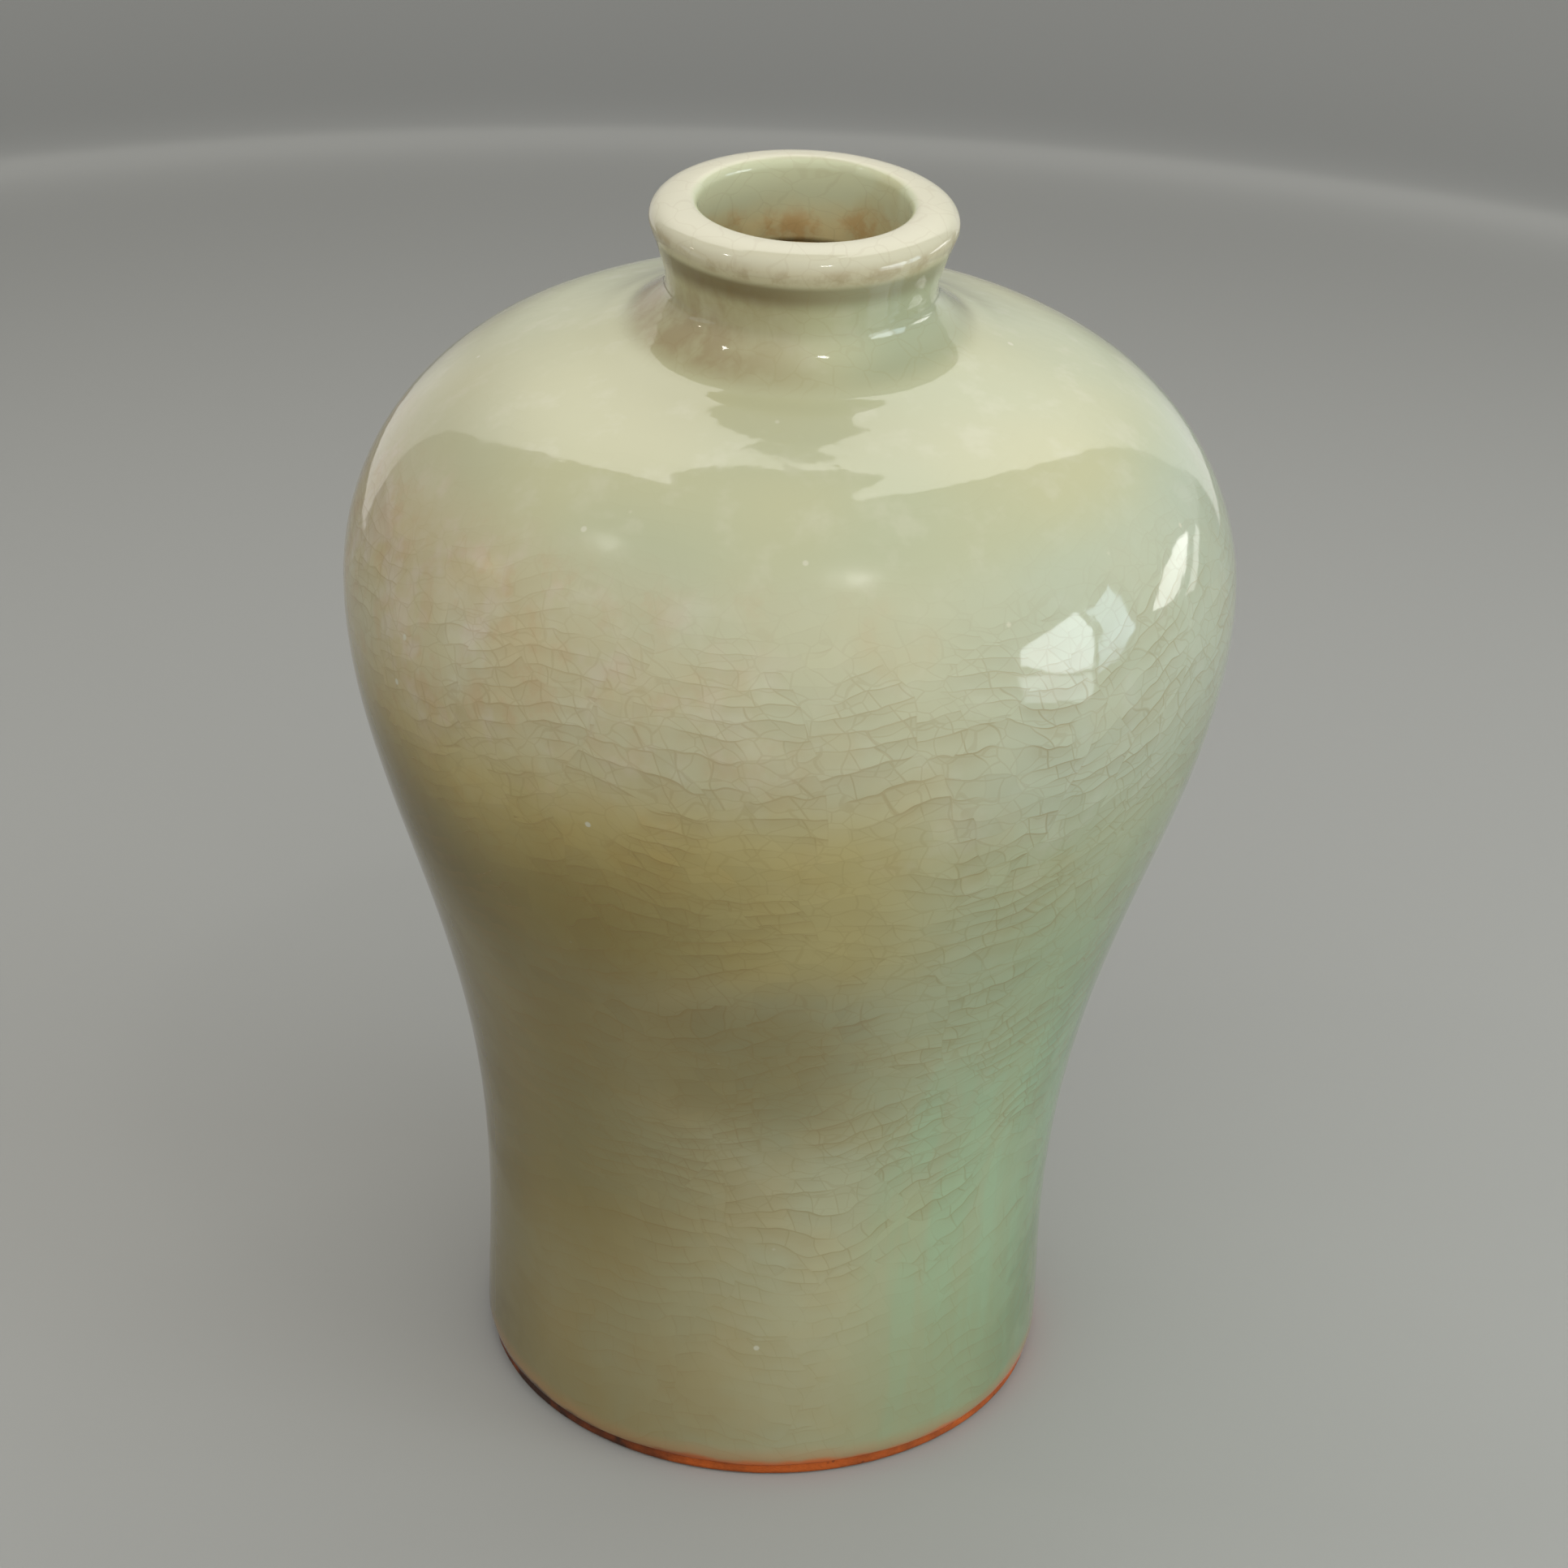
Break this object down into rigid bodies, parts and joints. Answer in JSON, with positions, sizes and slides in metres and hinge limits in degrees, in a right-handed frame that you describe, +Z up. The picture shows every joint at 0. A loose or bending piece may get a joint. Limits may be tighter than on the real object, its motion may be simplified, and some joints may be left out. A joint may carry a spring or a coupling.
{
  "type": "meiping vase",
  "caption": "Tall stoneware vase with a high swelling shoulder, small rolled mouth, narrow cylindrical foot and crackled celadon glaze.",
  "frame": {"origin": "centre of the foot, on the plane that the vase stands on", "axes": "+Z up along the axis that the vase was thrown on; the vase is round, so X and Y are equal"},
  "size_m": [0.1564, 0.1564, 0.23],
  "materials": {
    "foot_clay": "bare fired stoneware, burnt orange to brown",
    "slip": "fired slip",
    "body_clay": "fired stoneware under glaze",
    "outer_glaze": "glossy crackled celadon glaze",
    "inner_glaze": "thin glossy celadon glaze, brown where thin",
    "base_glaze": "satin celadon glaze"
  },
  "bodies": {
    "root": {"foot_ring": "foot_clay", "foot_slip": "slip", "lower_wall": "body_clay", "base_slip": "slip", "base_disc": "body_clay", "corner_coil": "body_clay", "waist_slip": "slip", "upper_wall": "body_clay", "neck_slip": "slip", "neck_and_lip": "body_clay", "outer_glaze": "outer_glaze", "inner_glaze": "inner_glaze", "base_glaze": "base_glaze"}
  },
  "joints": []
}
